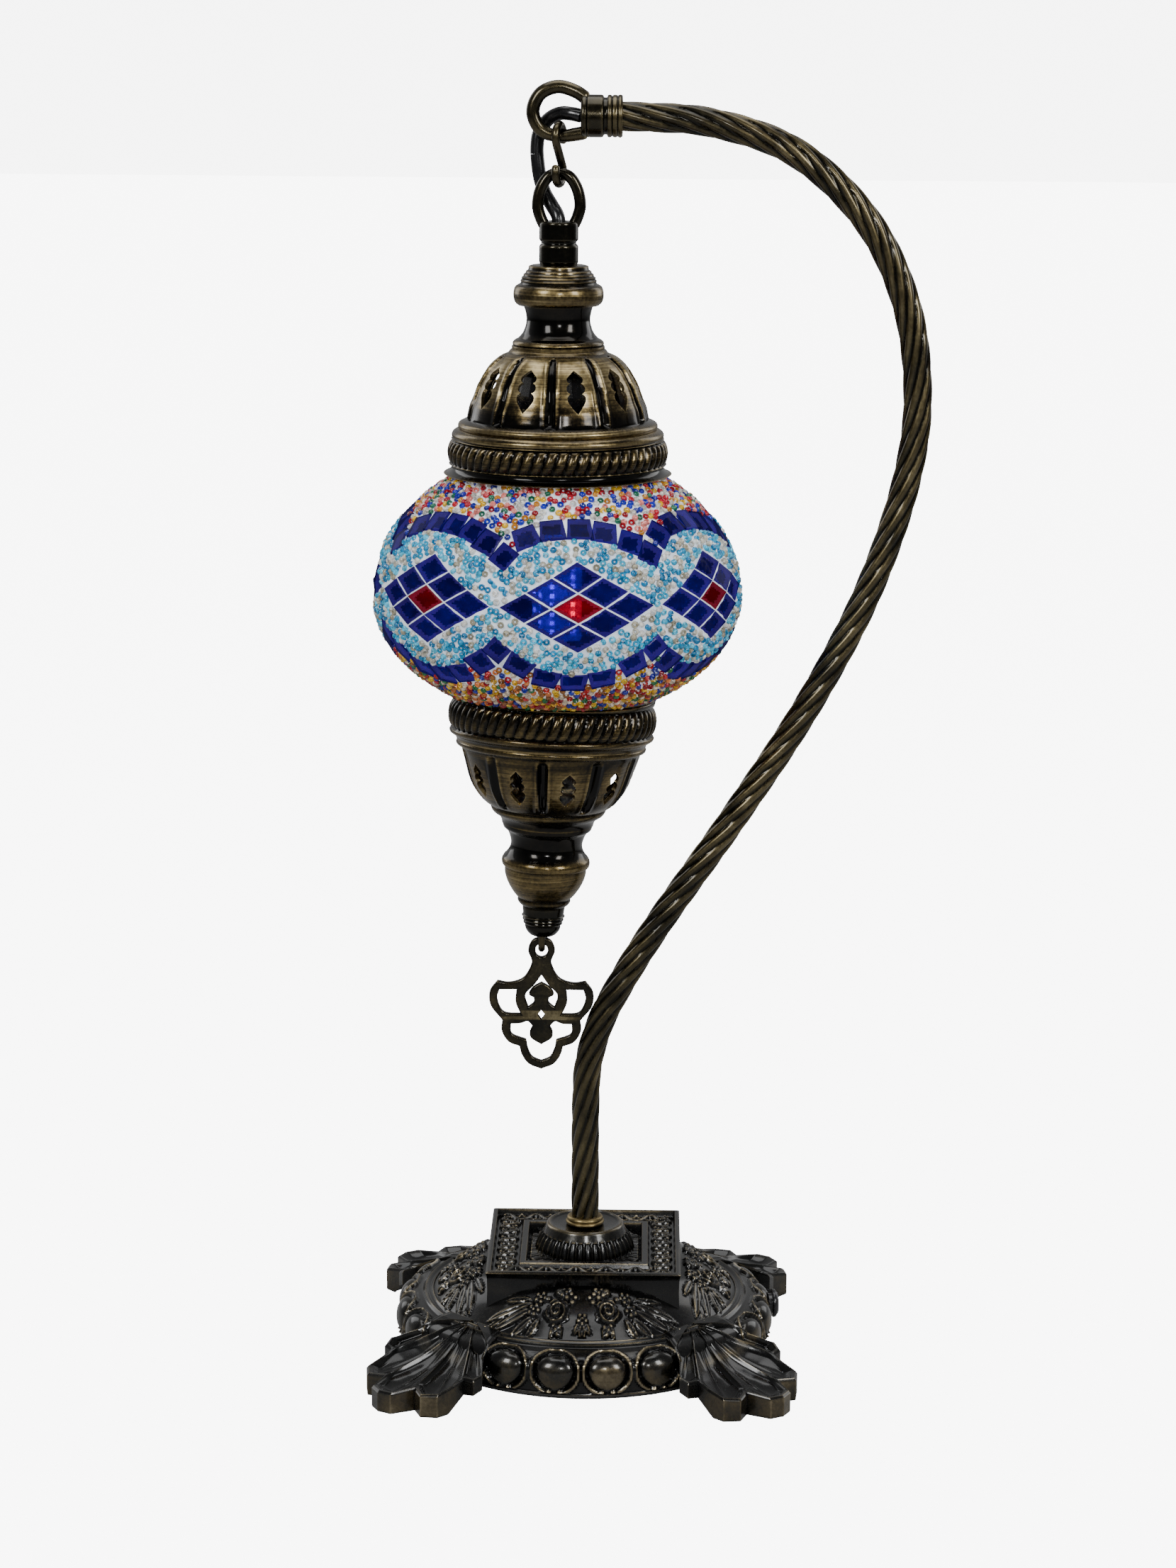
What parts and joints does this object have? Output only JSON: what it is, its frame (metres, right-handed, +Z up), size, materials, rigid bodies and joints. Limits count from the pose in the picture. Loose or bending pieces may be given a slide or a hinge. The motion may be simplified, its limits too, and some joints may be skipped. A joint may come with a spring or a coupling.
{
  "type": "mosaic glass table lamp",
  "caption": "Swan-neck table lamp: twisted metal arm on a cast ornate base, hanging mosaic glass globe between pierced brass caps, with a pendant charm.",
  "frame": {"origin": "centre of the base on the plane that the lamp stands on", "axes": "+Z up, +X towards the arm's bulge, -Y is the front"},
  "size_m": [0.1795, 0.1412, 0.421],
  "materials": {
    "old_brass": "antique patina, brushed high points",
    "dark_bronze": "blackened bronze with worn edges",
    "plain_brass": "satin",
    "steel": "zinc plated",
    "felt": "grey felt",
    "black_plastic": "gloss",
    "cable_sheath": "gloss sheath",
    "opal_glass": "opal",
    "clear_glass": "clear",
    "mosaic_tiles": "cut glass tiles and beads in grey grout"
  },
  "bodies": {
    "base": {"base_casting": "dark_bronze", "felt_pad": "felt", "base_cover_plate": "steel", "cover_screw_1": "steel", "cover_screw_2": "steel", "cover_screw_3": "steel", "cord_gland": "black_plastic", "swan_neck_arm": "old_brass", "arm_collar_ring": "old_brass", "arm_lock_washer": "steel", "arm_lock_nut": "steel", "arm_loop_cap": "old_brass", "lamp_cable": "cable_sheath"},
    "hook": {"s_hook": "old_brass"},
    "pendant": {"pendant_loop_cap": "old_brass", "top_knob": "old_brass", "upper_neck": "old_brass", "upper_cap": "old_brass", "upper_nipple": "plain_brass", "cap_lock_nut": "steel", "lampholder_cap": "black_plastic", "lampholder_body": "black_plastic", "lampholder_ring": "black_plastic", "globe_holder_bar": "steel", "bulb_screw_cap": "steel", "bulb_glass": "opal_glass", "globe_glass": "clear_glass", "mosaic_skin": "mosaic_tiles", "lower_cap": "old_brass", "lower_clamp_bar": "steel", "finial_rod": "steel", "finial_rod_nut": "steel", "lower_finial": "old_brass", "lower_end_cap": "old_brass", "charm_eye": "old_brass"},
    "charm": {"charm": "old_brass"}
  },
  "joints": [
    {"name": "hook_swing", "type": "hinge", "parent": "base", "child": "hook", "pos_m": [-0.0105, 0, 0.4036], "axis": [1, 0, 0], "range_deg": [-12, 12], "deforming": ["lamp_cable"]},
    {"name": "pendant_swing", "type": "hinge", "parent": "hook", "child": "pendant", "pos_m": [-0.0105, 0, 0.3923], "axis": [0, 1, 0], "range_deg": [0, 8]},
    {"name": "charm_swing", "type": "hinge", "parent": "pendant", "child": "charm", "pos_m": [-0.01504, 0, 0.13779], "axis": [0, 1, 0], "range_deg": [0, 60]}
  ]
}
